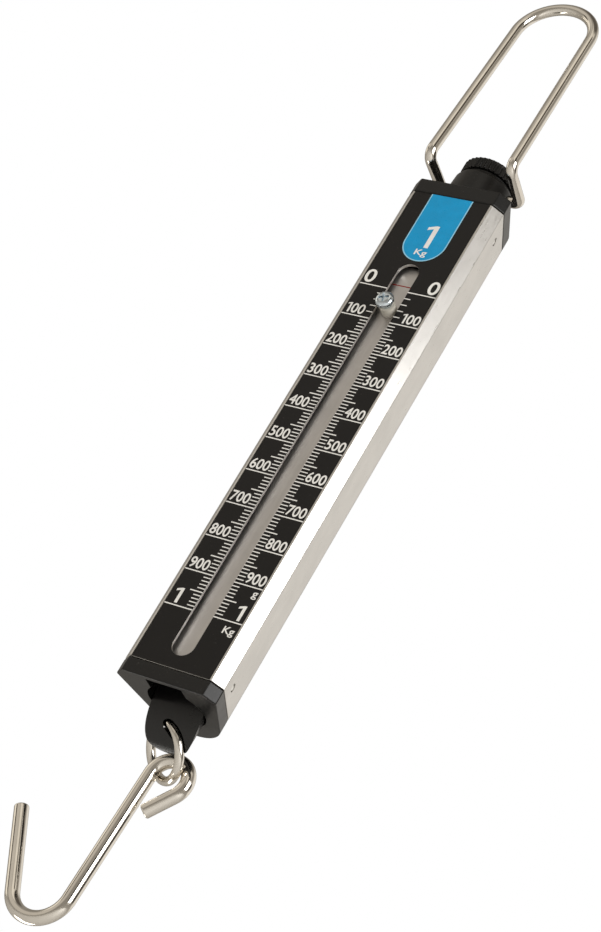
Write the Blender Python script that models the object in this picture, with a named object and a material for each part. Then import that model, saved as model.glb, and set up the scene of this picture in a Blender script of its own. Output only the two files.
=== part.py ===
"""Hanging spring scale, 1 kg: tubular aluminium case, zero-adjust knob, wire handle, puller, ring and hook.

Design frame, in millimetres: x to the right, y from the front face into the case, z up from the zero line.
The world origin is under the top of the handle's loop, where the scale hangs.
"""

from math import asin, ceil, cos, pi, radians, sin

import bmesh
import bpy
from mathutils import Matrix, Vector

MM = 0.001

# Case: an extruded tube with a flat front, chamfers, tapering sides and a round back.
FRONT_HALF = 11.35
CHAMFER_X = 2.6
CHAMFER_Y = 2.85
TAPER_X = 4.4
SIDE_END_Y = 17.1
BACK_Y = 23.5
WALL = 1.2
CASE_TOP = 31.35
CASE_BOTTOM = -115.5
PLATE_THICK = 0.45
RECESS_DEEP = 0.6
RECESS_LIP = 0.35
SLOT_R = 2.98
SLOT_TOP = 5.6
SLOT_BOTTOM = -108.9

# Caps, with spigots inside the tube, held by two pins each.
GAP = 0.15
CAP_TOP = 35.85
CAP_BOTTOM = -119.55
SPIGOT_GAP = 0.25
SPIGOT_TOP_END = 23.4
SPIGOT_LOW_END = -109.6
PIN_R = 1.0
PIN_Y = 8.0
PIN_LONG = 3.2
PIN_TOP_Z = 26.3
PIN_LOW_Z = -112.0

# Axis of the knob, the adjuster, the spring and the puller.
AXIS_Y = 10.64
BOSS_BASE_R = 8.65
BOSS_NECK_R = 8.2
BOSS_NECK_Z = 43.0
BOSS_TOP_R = 7.6
BOSS_TOP = 44.3
BOSS_BORE_R = 2.5
WASHER_R = 6.9
WASHER_THICK = 0.5
KNOB_R = 7.8
KNOB_FLUTES = 36
FLUTE_DEEP = 0.4
KNOB_BOTTOM = 45.2
KNOB_TOP = 48.6
NUT_HEX_R = 4.2
NUT_BOTTOM = 45.5
NUT_TOP = 48.2

# Adjuster: a threaded rod above, a square shank in its guide, and a flat eye below.
ROD_R = 1.95
ROD_CORE_R = 1.65
ROD_PITCH = 1.25
ROD_TOP = 47.6
ROD_THREAD_END = 32.6
SHANK_HALF = 1.6
SHANK_END = 23.2
EYE_TAB_HALF = 0.8
EYE_TAB_R = 2.9
ROD_EYE_Z = 21.0
EYE_HOLE_R = 1.3
GUIDE_BOTTOM = 27.0
GUIDE_TOP = 28.4
GUIDE_R = 6.5

# Handle: one wire from the boss forward over the cap, up, and round in a loop.
HANDLE_R = 1.5
PIVOT_Z = 41.7
PIVOT_IN_X = 4.9
CORNER_X = 11.5
KNEE_X = 11.86
KNEE_Y = -2.28
KNEE_Z = 41.9
LOOP_R = 10.85
LOOP_Y = 1.0
LOOP_Z = 90.4
LOOP_LEAN = 0.0674

# Spring between the adjuster's eye and the guide block's eye.
SPRING_R = 6.2
SPRING_WIRE_R = 0.35
SPRING_TURNS = 12.5
SPRING_PITCH = 0.76
SPRING_LOOP_R = 1.9
BLOCK_EYE_Z = 4.6

# Carriage: guide block, the strip behind the slot, and the pointer screw.
STRIP_HALF = 4.6
STRIP_Y = 2.2
STRIP_THICK = 0.6
STRIP_TOP = 9.0
STRIP_BOTTOM = -114.6
STRIP_WAY_Y = 1.2
BLOCK_Y = 3.1
BLOCK_GAP = 0.45
BLOCK_TOP = 1.6
BLOCK_BOTTOM = -2.8
POINTER_Z = -5.4
HEAD_R = 2.4
HEAD_UNDER_Y = -2.1
HEAD_TOP_Y = -3.7
SCREW_R = 1.3
COLLAR_R = 2.0
NUT_R = 2.2
NUT_DEEP = 1.6

# Puller: a round plug with a pad for the strip; its nose's front is a quarter of an ellipse.
PULLER_R = 7.3
PULLER_TOP = -101.0
PULLER_BOTTOM = -128.5
PAD_HALF = 4.6
PAD_BOTTOM = -115.3
OPENING_GAP = 0.4
NOSE_CENTRE_Y = 17.9
NOSE_CENTRE_Z = -102.9
NOSE_REACH = 9.0
NOSE_DROP = 25.8
RIVET_X = 2.7
RIVET_Z = -113.3
RIVET_R = 0.7

# Ring in the nose's curved hole, and the hook with its eye round the ring.
RING_R = 6.9
RING_WIRE_R = 1.15
RING_CENTRE = Vector((-1.8, 18.6, -127.6))
RING_NORMAL = Vector((0.45, 0.64, 0.62)).normalized()
RING_PIVOT_ANGLE = radians(80)
RING_SWING = radians(-40)
TUNNEL_R = 1.45
HOOK_WIRE_R = 1.8
HOOK_Y = 20.6
EYE_X = 1.6
EYE_Z = -133.2
EYE_R = 5.0
TAIL_ANGLE = radians(-40)
TAIL_LONG = 8.1
BEND_R = 7.6
BEND_CENTRE = Vector((-12.6, -167.6))
HOOK_CONTACT = 52
TIP_LEAN = radians(27.3)
TIP_LONG = 22.6

ORIGIN = Vector((0.0, LOOP_Y + LOOP_LEAN * LOOP_R, LOOP_Z + LOOP_R - HANDLE_R))

BLACK = ("black_plastic", (0.018, 0.018, 0.019, 1.0), 0.38, 0.0)
LABEL = ("label_black", (0.030, 0.026, 0.025, 1.0), 0.45, 0.0)
ALUMINIUM = ("satin_aluminium", (0.78, 0.78, 0.77, 1.0), 0.32, 1.0)
NICKEL = ("nickel_plate", (0.75, 0.72, 0.68, 1.0), 0.12, 1.0)
STEEL = ("plain_steel", (0.52, 0.53, 0.55, 1.0), 0.35, 1.0)
ZINC = ("zinc_plate", (0.66, 0.70, 0.76, 1.0), 0.25, 1.0)
BRASS = ("brass", (0.72, 0.55, 0.26, 1.0), 0.3, 1.0)
NYLON = ("natural_nylon", (0.80, 0.78, 0.70, 1.0), 0.5, 0.0)
RUBBER = ("rubber", (0.03, 0.03, 0.03, 1.0), 0.8, 0.0)

TO_FRONT = Matrix.Rotation(radians(90), 4, "X")
TO_RIGHT = Matrix.Rotation(radians(90), 4, "Y")


def clear_scene():
    for thing in list(bpy.data.objects):
        bpy.data.objects.remove(thing)


def material(spec):
    name, colour, roughness, metallic = spec
    found = bpy.data.materials.get(name)
    if found:
        return found
    made = bpy.data.materials.new(name)
    made.use_nodes = True
    shader = made.node_tree.nodes["Principled BSDF"]
    shader.inputs["Base Color"].default_value = colour
    shader.inputs["Roughness"].default_value = roughness
    shader.inputs["Metallic"].default_value = metallic
    return made


def place(name, bm, spec, pivot=(0.0, 0.0, 0.0)):
    """Makes an object from a mesh in design millimetres, with its origin at the pivot."""
    bmesh.ops.recalc_face_normals(bm, faces=bm.faces[:])
    pivot = Vector(pivot)
    for vertex in bm.verts:
        vertex.co = (vertex.co - pivot) * MM
    mesh = bpy.data.meshes.new(name)
    bm.to_mesh(mesh)
    bm.free()
    mesh.shade_smooth()
    mesh.set_sharp_from_angle(angle=radians(32))
    thing = bpy.data.objects.new(name, mesh)
    thing.location = (pivot - ORIGIN) * MM
    if spec:
        mesh.materials.append(material(spec))
    bpy.context.scene.collection.objects.link(thing)
    return thing


def cut(target, name, bm):
    cutter = place(name, bm, None)
    cutter.hide_render = True
    cutter.display_type = "WIRE"
    boolean = target.modifiers.new(name, "BOOLEAN")
    boolean.object = cutter
    boolean.operation = "DIFFERENCE"
    boolean.solver = "EXACT"


def soften(thing, width, segments=2):
    """Rounds the sharp edges of a solid before anything is cut from it."""
    bevel = thing.modifiers.new("edges", "BEVEL")
    bevel.width = width * MM
    bevel.segments = segments
    bevel.limit_method = "ANGLE"
    bevel.angle_limit = radians(40)


# Outlines ---------------------------------------------------------------------------------------


def circle(radius, steps=32, centre=(0.0, 0.0), turn=0.0):
    angles = [turn + 2 * pi * step / steps for step in range(steps)]
    return [(centre[0] + radius * cos(a), centre[1] + radius * sin(a)) for a in angles]


def arc(radius, centre, start, end, steps):
    angles = [start + (end - start) * step / steps for step in range(steps + 1)]
    return [(centre[0] + radius * cos(a), centre[1] + radius * sin(a)) for a in angles]


def rectangle(x0, y0, x1, y1):
    return [(x0, y0), (x1, y0), (x1, y1), (x0, y1)]


def section(steps=20):
    """The case's outer outline, counter-clockwise."""
    side_x = FRONT_HALF + CHAMFER_X
    end_x = side_x - TAPER_X
    centre = (BACK_Y**2 - SIDE_END_Y**2 - end_x**2) / (2 * (BACK_Y - SIDE_END_Y))
    radius = BACK_Y - centre
    reach = asin(end_x / radius)
    right = [(FRONT_HALF, 0.0), (side_x, CHAMFER_Y)]
    left = [(-x, y) for x, y in reversed(right)]
    return right + arc(radius, (0.0, centre), pi / 2 - reach, pi / 2 + reach, steps) + left


def inset(outline, distance):
    """The outline moved inwards along its corners' bisectors."""
    moved = []
    count = len(outline)
    for i, point in enumerate(outline):
        here = Vector(point)
        before = (here - Vector(outline[i - 1])).normalized()
        after = (Vector(outline[(i + 1) % count]) - here).normalized()
        bisector = Vector((-before.y - after.y, before.x + after.x)).normalized()
        reach = distance / Vector((-before.y, before.x)).dot(bisector)
        moved.append(tuple(here + bisector * reach))
    return moved


def slot(radius, low, high, steps=14):
    """An upright slot with round ends, as (x, z) points."""
    top = arc(radius, (0.0, high), 0.0, pi, steps)
    bottom = arc(radius, (0.0, low), pi, 2 * pi, steps)
    return top + bottom


# Solids -----------------------------------------------------------------------------------------


def add_prism(bm, outline, low, high, matrix=None):
    """A prism on an outline, from low to high along the outline's normal."""
    bottom = [bm.verts.new((x, y, low)) for x, y in outline]
    top = [bm.verts.new((x, y, high)) for x, y in outline]
    bm.faces.new(reversed(bottom))
    bm.faces.new(top)
    for i in range(len(outline)):
        bm.faces.new((bottom[i - 1], bottom[i], top[i], top[i - 1]))
    if matrix:
        bmesh.ops.transform(bm, matrix=matrix, verts=bottom + top)


def prism(outline, low, high, matrix=None):
    bm = bmesh.new()
    add_prism(bm, outline, low, high, matrix)
    return bm


def add_turned(bm, profile, steps=48, matrix=None):
    """Turns (radius, height) points about the z axis; both ends are closed by flat faces."""
    rows = []
    for radius, height in profile:
        rows.append([bm.verts.new((x, y, height)) for x, y in circle(radius, steps)])
    for low, high in zip(rows, rows[1:]):
        for i in range(steps):
            bm.faces.new((low[i - 1], low[i], high[i], high[i - 1]))
    bm.faces.new(reversed(rows[0]))
    bm.faces.new(rows[-1])
    if matrix:
        bmesh.ops.transform(bm, matrix=matrix, verts=[v for row in rows for v in row])


def turned(profile, steps=48, matrix=None):
    bm = bmesh.new()
    add_turned(bm, profile, steps, matrix)
    return bm


def cylinder(radius, low, high, matrix=None, steps=32):
    return turned([(radius, low), (radius, high)], steps, matrix)


def add_wire(bm, path, radius, sides=12, closed=False, ends=1.0):
    """Sweeps a circle along a path of points, keeping its twist small; ends scales the end circles."""
    count = len(path)
    rows = []
    side = None
    for i, here in enumerate(path):
        before = path[i - 1] if i or closed else here
        after = path[(i + 1) % count] if i + 1 < count or closed else here
        along = (after - before).normalized()
        if side is None:
            side = along.orthogonal().normalized()
        side = (side - along * side.dot(along)).normalized()
        over = along.cross(side)
        size = radius * (ends if not closed and i in (0, count - 1) else 1.0)
        rows.append([bm.verts.new(here + size * (x * side + y * over)) for x, y in circle(1.0, sides)])
    pairs = list(zip(rows, rows[1:]))
    if closed:
        pairs.append((rows[-1], closest_turn(rows[-1], rows[0])))
    for low, high in pairs:
        for i in range(sides):
            bm.faces.new((low[i - 1], low[i], high[i], high[i - 1]))
    if not closed:
        bm.faces.new(reversed(rows[0]))
        bm.faces.new(rows[-1])


def closest_turn(last, first):
    """The first circle's points, started from the one nearest the last circle's start."""
    start = min(range(len(first)), key=lambda i: (first[i].co - last[0].co).length)
    return first[start:] + first[:start]


def wire(path, radius, sides=12, closed=False, ends=1.0):
    bm = bmesh.new()
    add_wire(bm, path, radius, sides, closed, ends)
    return bm


def filleted(corners, radii, step=radians(12)):
    """A path through the corners with each inner corner replaced by an arc of its radius."""
    path = [corners[0]]
    for before, here, after, radius in zip(corners, corners[1:], corners[2:], radii):
        to_before = (before - here).normalized()
        to_after = (after - here).normalized()
        half = to_before.angle(to_after) / 2
        reach = radius * cos(half) / sin(half)
        centre = here + (to_before + to_after).normalized() * (radius / sin(half))
        start = here + to_before * reach - centre
        end = here + to_after * reach - centre
        turn = start.angle(end)
        axis = start.cross(end).normalized()
        steps = max(2, ceil(turn / step))
        for i in range(steps + 1):
            path.append(centre + Matrix.Rotation(turn * i / steps, 3, axis) @ start)
    return path + [corners[-1]]


def with_end_chamfers(path, reach):
    """Adds a point a little way in from each end, so that the end circles can be drawn smaller."""
    first = path[0] + (path[1] - path[0]).normalized() * reach
    last = path[-1] + (path[-2] - path[-1]).normalized() * reach
    return [path[0], first] + path[1:-1] + [last, path[-1]]


def bezier(p0, p1, p2, p3, steps):
    points = []
    for i in range(1, steps):
        t = i / steps
        s = 1 - t
        points.append(p0 * s**3 + p1 * (3 * s * s * t) + p2 * (3 * s * t * t) + p3 * t**3)
    return points


# Case -------------------------------------------------------------------------------------------


def front_prism(outline, near, far):
    """A prism on an (x, z) outline, from y = near to y = far."""
    return prism(outline, -far, -near, TO_FRONT)


def side_cylinder(radius, x0, x1, y, z, steps=24):
    """A cylinder along x."""
    return cylinder(radius, x0, x1, Matrix.Translation((0.0, y, z)) @ TO_RIGHT, steps)


def build_case_tube():
    tube = place("case_tube", prism(section(), CASE_BOTTOM, CASE_TOP), ALUMINIUM)
    cut(tube, "tube_bore", prism(inset(section(), WALL), CASE_BOTTOM - 1, CASE_TOP + 1))
    half = FRONT_HALF - RECESS_LIP
    panel = rectangle(-half, CASE_BOTTOM - 1, half, CASE_TOP + 1)
    cut(tube, "tube_recess", front_prism(panel, -1.0, RECESS_DEEP))
    cut(tube, "tube_slot", front_prism(slot(SLOT_R + 0.3, SLOT_BOTTOM, SLOT_TOP), -0.5, WALL + 0.5))
    for z, level in ((PIN_TOP_Z, "high"), (PIN_LOW_Z, "low")):
        cut(tube, f"tube_pin_holes_{level}", side_cylinder(PIN_R + 0.1, -16.0, 16.0, PIN_Y, z))


def build_scale_plate():
    half = FRONT_HALF - RECESS_LIP - 0.1
    panel = rectangle(-half, CASE_BOTTOM, half, CASE_TOP)
    near = RECESS_DEEP - 0.08 - PLATE_THICK
    plate = place("scale_plate", front_prism(panel, near, near + PLATE_THICK), LABEL)
    cut(plate, "plate_slot", front_prism(slot(SLOT_R, SLOT_BOTTOM, SLOT_TOP), -1.0, 2.0))


def spigot_outline():
    return inset(section(), WALL + SPIGOT_GAP)


def build_top_cap():
    cap = place("top_cap", prism(section(), CASE_TOP + GAP, CAP_TOP), BLACK)
    soften(cap, 0.35)
    join(cap, "cap_spigot", prism(spigot_outline(), SPIGOT_TOP_END, CASE_TOP + 1.0))
    boss = [(BOSS_BASE_R, CAP_TOP - 1.5), (BOSS_BASE_R, CAP_TOP + 0.2), (BOSS_NECK_R, BOSS_NECK_Z)]
    boss += [(BOSS_TOP_R, BOSS_TOP - 0.2), (BOSS_TOP_R - 0.3, BOSS_TOP)]
    join(cap, "cap_boss", turned(boss, 44, axis_at(0.0)))
    cut(cap, "cap_bore", cylinder(BOSS_BORE_R, GUIDE_TOP - 0.5, BOSS_TOP + 2, axis_at(0.0)))
    pocket = cylinder(GUIDE_R + 0.15, SPIGOT_TOP_END - 1, GUIDE_TOP + 0.15, axis_at(0.0), 48)
    cut(cap, "cap_pocket", pocket)
    for side in (-1, 1):
        inner = side * (PIVOT_IN_X - 0.3)
        outer = side * 12.0
        bore = side_cylinder(HANDLE_R + 0.08, min(inner, outer), max(inner, outer), AXIS_Y, PIVOT_Z, 40)
        cut(cap, f"cap_handle_bore_{side_name(side)}", bore)
    cut_pin_pockets(cap, "top", PIN_TOP_Z)


def axis_at(z):
    return Matrix.Translation((0.0, AXIS_Y, z))


def side_name(side):
    return "right" if side > 0 else "left"


def join(target, name, bm):
    helper = place(name, bm, None)
    helper.hide_render = True
    helper.display_type = "WIRE"
    boolean = target.modifiers.new(name, "BOOLEAN")
    boolean.object = helper
    boolean.operation = "UNION"
    boolean.solver = "EXACT"


def half_width(y):
    """Half the width of the case's straight sides at a depth."""
    return FRONT_HALF + CHAMFER_X - TAPER_X * (y - CHAMFER_Y) / (SIDE_END_Y - CHAMFER_Y)


def cut_pin_pockets(cap, level, z):
    reach = half_width(PIN_Y) - PIN_LONG - 0.3
    for side in (-1, 1):
        ends = sorted((side * reach, side * 16.0))
        cut(cap, f"{level}_pin_pocket_{side_name(side)}", side_cylinder(PIN_R + 0.05, *ends, PIN_Y, z))


def build_bottom_cap():
    cap = place("bottom_cap", prism(section(), CAP_BOTTOM, CASE_BOTTOM - GAP), BLACK)
    soften(cap, 0.35)
    join(cap, "bottom_spigot", prism(spigot_outline(), CASE_BOTTOM - 1.0, SPIGOT_LOW_END))
    low, high = CAP_BOTTOM - 1, SPIGOT_LOW_END + 1
    opening = circle(PULLER_R + OPENING_GAP, 56, (0.0, AXIS_Y))
    cut(cap, "bottom_opening", prism(opening, low, high))
    half = STRIP_HALF + OPENING_GAP
    cut(cap, "bottom_strip_way", prism(rectangle(-half, STRIP_WAY_Y, half, AXIS_Y), low, high))
    cut_pin_pockets(cap, "bottom", PIN_LOW_Z)


def build_cap_pins():
    """Four drive pins through the tube's sides into the caps' spigots."""
    for level, z in (("top", PIN_TOP_Z), ("bottom", PIN_LOW_Z)):
        for side in (-1, 1):
            head = half_width(PIN_Y) - 0.35
            profile = [(PIN_R - 0.15, head - PIN_LONG + 0.3), (PIN_R, head - PIN_LONG + 0.5)]
            profile += [(PIN_R, head - 0.25), (PIN_R - 0.25, head)]
            turn = TO_RIGHT if side > 0 else Matrix.Rotation(radians(-90), 4, "Y")
            matrix = Matrix.Translation((0.0, PIN_Y, z)) @ turn
            place(f"cap_pin_{level}_{side_name(side)}", turned(profile, 20, matrix), STEEL)


def build_adjuster_guide():
    """A disc in the top cap with a square hole that stops the adjuster turning."""
    disc = cylinder(GUIDE_R, GUIDE_BOTTOM, GUIDE_TOP, axis_at(0.0), 40)
    guide = place("adjuster_guide", disc, STEEL)
    half = SHANK_HALF + 0.12
    square = rectangle(-half, AXIS_Y - half, half, AXIS_Y + half)
    cut(guide, "guide_square", prism(square, GUIDE_BOTTOM - 1, GUIDE_TOP + 1))


def build_stop_bumper():
    """A rubber pad on the bottom cap's spigot where the guide block lands."""
    outline = inset(section(), WALL + SPIGOT_GAP + 0.35)
    low = SPIGOT_LOW_END + 0.1
    bumper = place("stop_bumper", prism(outline, low, low + 1.4), RUBBER)
    opening = circle(PULLER_R + OPENING_GAP + 0.3, 56, (0.0, AXIS_Y))
    cut(bumper, "bumper_opening", prism(opening, low - 1, low + 3))
    half = STRIP_HALF + OPENING_GAP + 0.3
    way = prism(rectangle(-half, -1.0, half, AXIS_Y), low - 1, low + 3)
    cut(bumper, "bumper_strip_way", way)


# Handle, knob and adjuster ------------------------------------------------------------------------


def build_handle():
    corners = [
        Vector((PIVOT_IN_X, AXIS_Y, PIVOT_Z)),
        Vector((CORNER_X, AXIS_Y, PIVOT_Z)),
        Vector((KNEE_X, KNEE_Y, KNEE_Z)),
        Vector((LOOP_R, LOOP_Y, LOOP_Z)),
    ]
    right = filleted(corners, [1.9, 2.6])
    up = Vector((0.0, LOOP_LEAN, 1.0)).normalized()
    centre = Vector((0.0, LOOP_Y, LOOP_Z))
    angles = [pi * i / 20 for i in range(1, 20)]
    top = [centre + LOOP_R * (cos(a) * Vector((1.0, 0.0, 0.0)) + sin(a) * up) for a in angles]
    left = [Vector((-p.x, p.y, p.z)) for p in reversed(right)]
    path = with_end_chamfers(right + top + left, 0.3)
    place("handle_wire", wire(path, HANDLE_R, 12, ends=0.8), NICKEL)


def build_knob():
    """A fluted knob with a round pocket for its brass nut."""
    steps = KNOB_FLUTES * 4
    outline = []
    for step in range(steps):
        angle = 2 * pi * step / steps
        radius = KNOB_R - FLUTE_DEEP * (0.5 - 0.5 * cos(KNOB_FLUTES * angle))
        outline.append((radius * cos(angle), radius * sin(angle)))
    pivot = (0.0, AXIS_Y, 0.0)
    knob = place("zero_knob", prism(outline, KNOB_BOTTOM, KNOB_TOP, axis_at(0.0)), BLACK, pivot)
    hexagon = circle(NUT_HEX_R + 0.15, 6)
    cut(knob, "knob_hexagon", prism(hexagon, NUT_BOTTOM - 0.15, KNOB_TOP + 1, axis_at(0.0)))
    cut(knob, "knob_bore", cylinder(ROD_R + 0.5, KNOB_BOTTOM - 1, KNOB_TOP, axis_at(0.0)))


def build_knob_nut():
    hexagon = prism(circle(NUT_HEX_R, 6), NUT_BOTTOM, NUT_TOP, axis_at(0.0))
    nut = place("knob_nut", hexagon, BRASS, (0.0, AXIS_Y, 0.0))
    soften(nut, 0.2, 1)
    cut(nut, "nut_bore", cylinder(ROD_R + 0.08, NUT_BOTTOM - 1, NUT_TOP + 1, axis_at(0.0), 40))


def build_knob_washer():
    low = BOSS_TOP + 0.15
    disc = cylinder(WASHER_R, low, low + WASHER_THICK, axis_at(0.0), 48)
    washer = place("knob_washer", disc, NYLON)
    cut(washer, "washer_hole", cylinder(ROD_R + 0.4, low - 1, low + 2, axis_at(0.0)))


def build_adjuster_rod():
    profile = [(ROD_CORE_R, ROD_THREAD_END - 2.0)]
    turns = int((ROD_TOP - ROD_THREAD_END) / ROD_PITCH)
    for turn in range(turns):
        z = ROD_THREAD_END + turn * ROD_PITCH
        profile += [(ROD_CORE_R, z), (ROD_R, z + 0.42 * ROD_PITCH), (ROD_R, z + 0.58 * ROD_PITCH)]
    profile += [(ROD_CORE_R, ROD_THREAD_END + turns * ROD_PITCH), (ROD_CORE_R - 0.4, ROD_TOP)]
    rod = place("adjuster_rod", turned(profile, 16, axis_at(0.0)), STEEL)
    half = SHANK_HALF
    square = rectangle(-half, AXIS_Y - half, half, AXIS_Y + half)
    join(rod, "rod_shank", prism(square, SHANK_END - 1.0, ROD_THREAD_END - 1.0))
    tab = cylinder(EYE_TAB_R, -EYE_TAB_HALF, EYE_TAB_HALF, eye_matrix(ROD_EYE_Z), 28)
    join(rod, "rod_eye", tab)
    hole = cylinder(EYE_HOLE_R, -2.0, 2.0, eye_matrix(ROD_EYE_Z - 0.2), 24)
    cut(rod, "rod_eye_hole", hole)


def eye_matrix(z):
    """Puts a cylinder's axis along x through the axis line at a height."""
    return Matrix.Translation((0.0, AXIS_Y, z)) @ TO_RIGHT


def build_spring():
    """A close-wound spring with a loop at each end, hooked in the adjuster's and the block's eyes."""
    along = SPRING_TURNS * SPRING_PITCH
    middle = (ROD_EYE_Z + BLOCK_EYE_Z) / 2
    low = middle - along / 2
    steps = int(SPRING_TURNS * 12)
    helix = []
    for step in range(steps + 1):
        angle = 2 * pi * SPRING_TURNS * step / steps
        spot = Vector((SPRING_R * cos(angle), AXIS_Y + SPRING_R * sin(angle), low + along * step / steps))
        helix.append(spot)
    top = spring_end(helix[-2], helix[-1], ROD_EYE_Z - 0.2, 1)
    bottom = spring_end(helix[1], helix[0], BLOCK_EYE_Z, -1)
    place("tension_spring", wire(list(reversed(bottom)) + helix + top, SPRING_WIRE_R, 5), STEEL)


def spring_end(before, end, eye_z, up):
    """From the coil's end in to a loop whose far side passes through the eye."""
    centre = Vector((0.0, AXIS_Y, eye_z - up * SPRING_LOOP_R))
    side = 1.0 if end.x > 0 else -1.0
    start = centre + Vector((side * SPRING_LOOP_R, 0.0, 0.0))
    tangent = (end - before).normalized()
    lead = bezier(end, end + tangent * 3.0, start - Vector((0.0, 0.0, up * 2.4)), start, 8)
    loop = []
    for i in range(17):
        angle = radians(300) * i / 16
        reach = Vector((side * cos(angle), 0.0, up * sin(angle))) * SPRING_LOOP_R
        loop.append(centre + reach + Vector((0.0, 0.9 * i / 16 * side, 0.0)))
    return lead + loop


# Carriage -----------------------------------------------------------------------------------------


def build_carriage_strip():
    panel = rectangle(-STRIP_HALF, STRIP_BOTTOM, STRIP_HALF, STRIP_TOP)
    strip = place("carriage_strip", front_prism(panel, STRIP_Y, STRIP_Y + STRIP_THICK), STEEL)
    spots = [("screw", SCREW_R + 0.1, 0.0, POINTER_Z)]
    spots += [(f"rivet_{side_name(side)}", RIVET_R + 0.1, side * RIVET_X, RIVET_Z) for side in (-1, 1)]
    for name, radius, x, z in spots:
        matrix = Matrix.Translation((x, 0.0, z)) @ TO_FRONT
        cut(strip, f"strip_hole_{name}", cylinder(radius, -10.0, 10.0, matrix, 24))


def build_guide_block():
    """A nylon block that slides in the tube, with an eye for the spring on top."""
    outline = inset(section(), WALL + BLOCK_GAP)
    block = place("guide_block", prism(outline, BLOCK_BOTTOM, BLOCK_TOP), NYLON)
    soften(block, 0.3)
    way = rectangle(-12.0, BLOCK_BOTTOM - 1, 12.0, BLOCK_TOP + 1)
    cut(block, "block_front", front_prism(way, -2.0, BLOCK_Y))
    ear = cylinder(3.4, -EYE_TAB_HALF, EYE_TAB_HALF, eye_matrix(BLOCK_EYE_Z - 0.4), 28)
    join(block, "block_ear", ear)
    foot = rectangle(-EYE_TAB_HALF, AXIS_Y - 3.4, EYE_TAB_HALF, AXIS_Y + 3.4)
    join(block, "block_ear_foot", prism(foot, BLOCK_TOP - 1, BLOCK_EYE_Z - 0.4))
    cut(block, "block_ear_hole", cylinder(EYE_HOLE_R, -2.0, 2.0, eye_matrix(BLOCK_EYE_Z), 24))


def build_pointer():
    """The screw that rides in the slot: its head outside, a collar and a square nut inside."""
    to_screw = Matrix.Translation((0.0, 0.0, POINTER_Z)) @ TO_FRONT
    back = STRIP_Y + STRIP_THICK + 0.15 + NUT_DEEP + 0.3
    profile = [(SCREW_R - 0.2, -back), (SCREW_R, -back + 0.25), (SCREW_R, -HEAD_UNDER_Y)]
    profile += [(HEAD_R, -HEAD_UNDER_Y), (HEAD_R, -HEAD_UNDER_Y + 0.55)]
    rise = -HEAD_TOP_Y + HEAD_UNDER_Y - 0.55
    for step in range(1, 6):
        angle = pi / 2 * step / 6
        profile.append((HEAD_R * (0.45 + 0.55 * cos(angle)), -HEAD_UNDER_Y + 0.55 + rise * sin(angle)))
    profile.append((HEAD_R * 0.42, -HEAD_TOP_Y))
    screw = place("pointer_screw", turned(profile, 36, to_screw), ZINC)
    for turn in (0.0, pi / 2):
        blade = rectangle(-1.45, -0.28, 1.45, 0.28)
        matrix = to_screw @ Matrix.Rotation(turn + radians(20), 4, "Z")
        name = "screw_cross_a" if turn else "screw_cross_b"
        cut(screw, name, prism(blade, -HEAD_TOP_Y - 0.9, -HEAD_TOP_Y + 1, matrix))
    collar = cylinder(COLLAR_R, -(STRIP_Y - 0.1), -(HEAD_UNDER_Y + 1.4), to_screw)
    sleeve = place("pointer_collar", collar, NYLON)
    cut(sleeve, "collar_bore", cylinder(SCREW_R + 0.08, -10.0, 10.0, to_screw, 32))
    near = STRIP_Y + STRIP_THICK + 0.1
    square = rectangle(-NUT_R, -NUT_R, NUT_R, NUT_R)
    nut = place("pointer_nut", prism(square, -near - NUT_DEEP, -near, to_screw), ZINC)
    soften(nut, 0.2, 1)
    cut(nut, "pointer_nut_bore", cylinder(SCREW_R + 0.08, -10.0, 10.0, to_screw, 32))


def build_puller():
    body = prism(circle(PULLER_R, 56, (0.0, AXIS_Y)), PULLER_BOTTOM, PULLER_TOP)
    puller = place("hook_puller", body, BLACK)
    soften(puller, 1.2, 3)
    pad = rectangle(-PAD_HALF, STRIP_Y + STRIP_THICK + 0.05, PAD_HALF, AXIS_Y)
    join(puller, "puller_pad", prism(pad, PAD_BOTTOM, PULLER_TOP - 0.5))
    cut(puller, "puller_nose", nose_cutter())
    for i in range(3):
        name = f"puller_tunnel_{i}"
        cut(puller, name, wire(ring_path(RING_SWING * i / 2, 40), TUNNEL_R, 10, closed=True))
    for side in (-1, 1):
        matrix = Matrix.Translation((side * RIVET_X, 0.0, RIVET_Z)) @ TO_FRONT
        cut(puller, f"puller_bore_{side_name(side)}", cylinder(RIVET_R + 0.05, -6.0, 5.0, matrix, 20))


def nose_cutter():
    """All that lies in front of the nose's curve, below the pad."""
    curve = []
    for i in range(17):
        angle = pi / 2 * i / 16
        y = NOSE_CENTRE_Y - NOSE_REACH * cos(angle)
        z = NOSE_CENTRE_Z - NOSE_DROP * sin(angle)
        if z < PAD_BOTTOM - 0.5:
            curve.append((y, z))
    top_y = curve[0][0] - 0.1
    outline = [(-2.0, PAD_BOTTOM), (-2.0, PULLER_BOTTOM - 3.0), (curve[-1][0], PULLER_BOTTOM - 3.0)]
    outline += list(reversed(curve)) + [(top_y, PAD_BOTTOM)]
    to_side = Matrix(((0, 0, 1, 0), (1, 0, 0, 0), (0, 1, 0, 0), (0, 0, 0, 1)))
    return prism(outline, -PULLER_R - 1.0, PULLER_R + 1.0, to_side)


def ring_point(angle):
    side = Vector((RING_NORMAL.y, -RING_NORMAL.x, 0.0)).normalized()
    up = RING_NORMAL.cross(side) * -1.0
    return RING_CENTRE + RING_R * (cos(angle) * side + sin(angle) * up)


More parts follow.
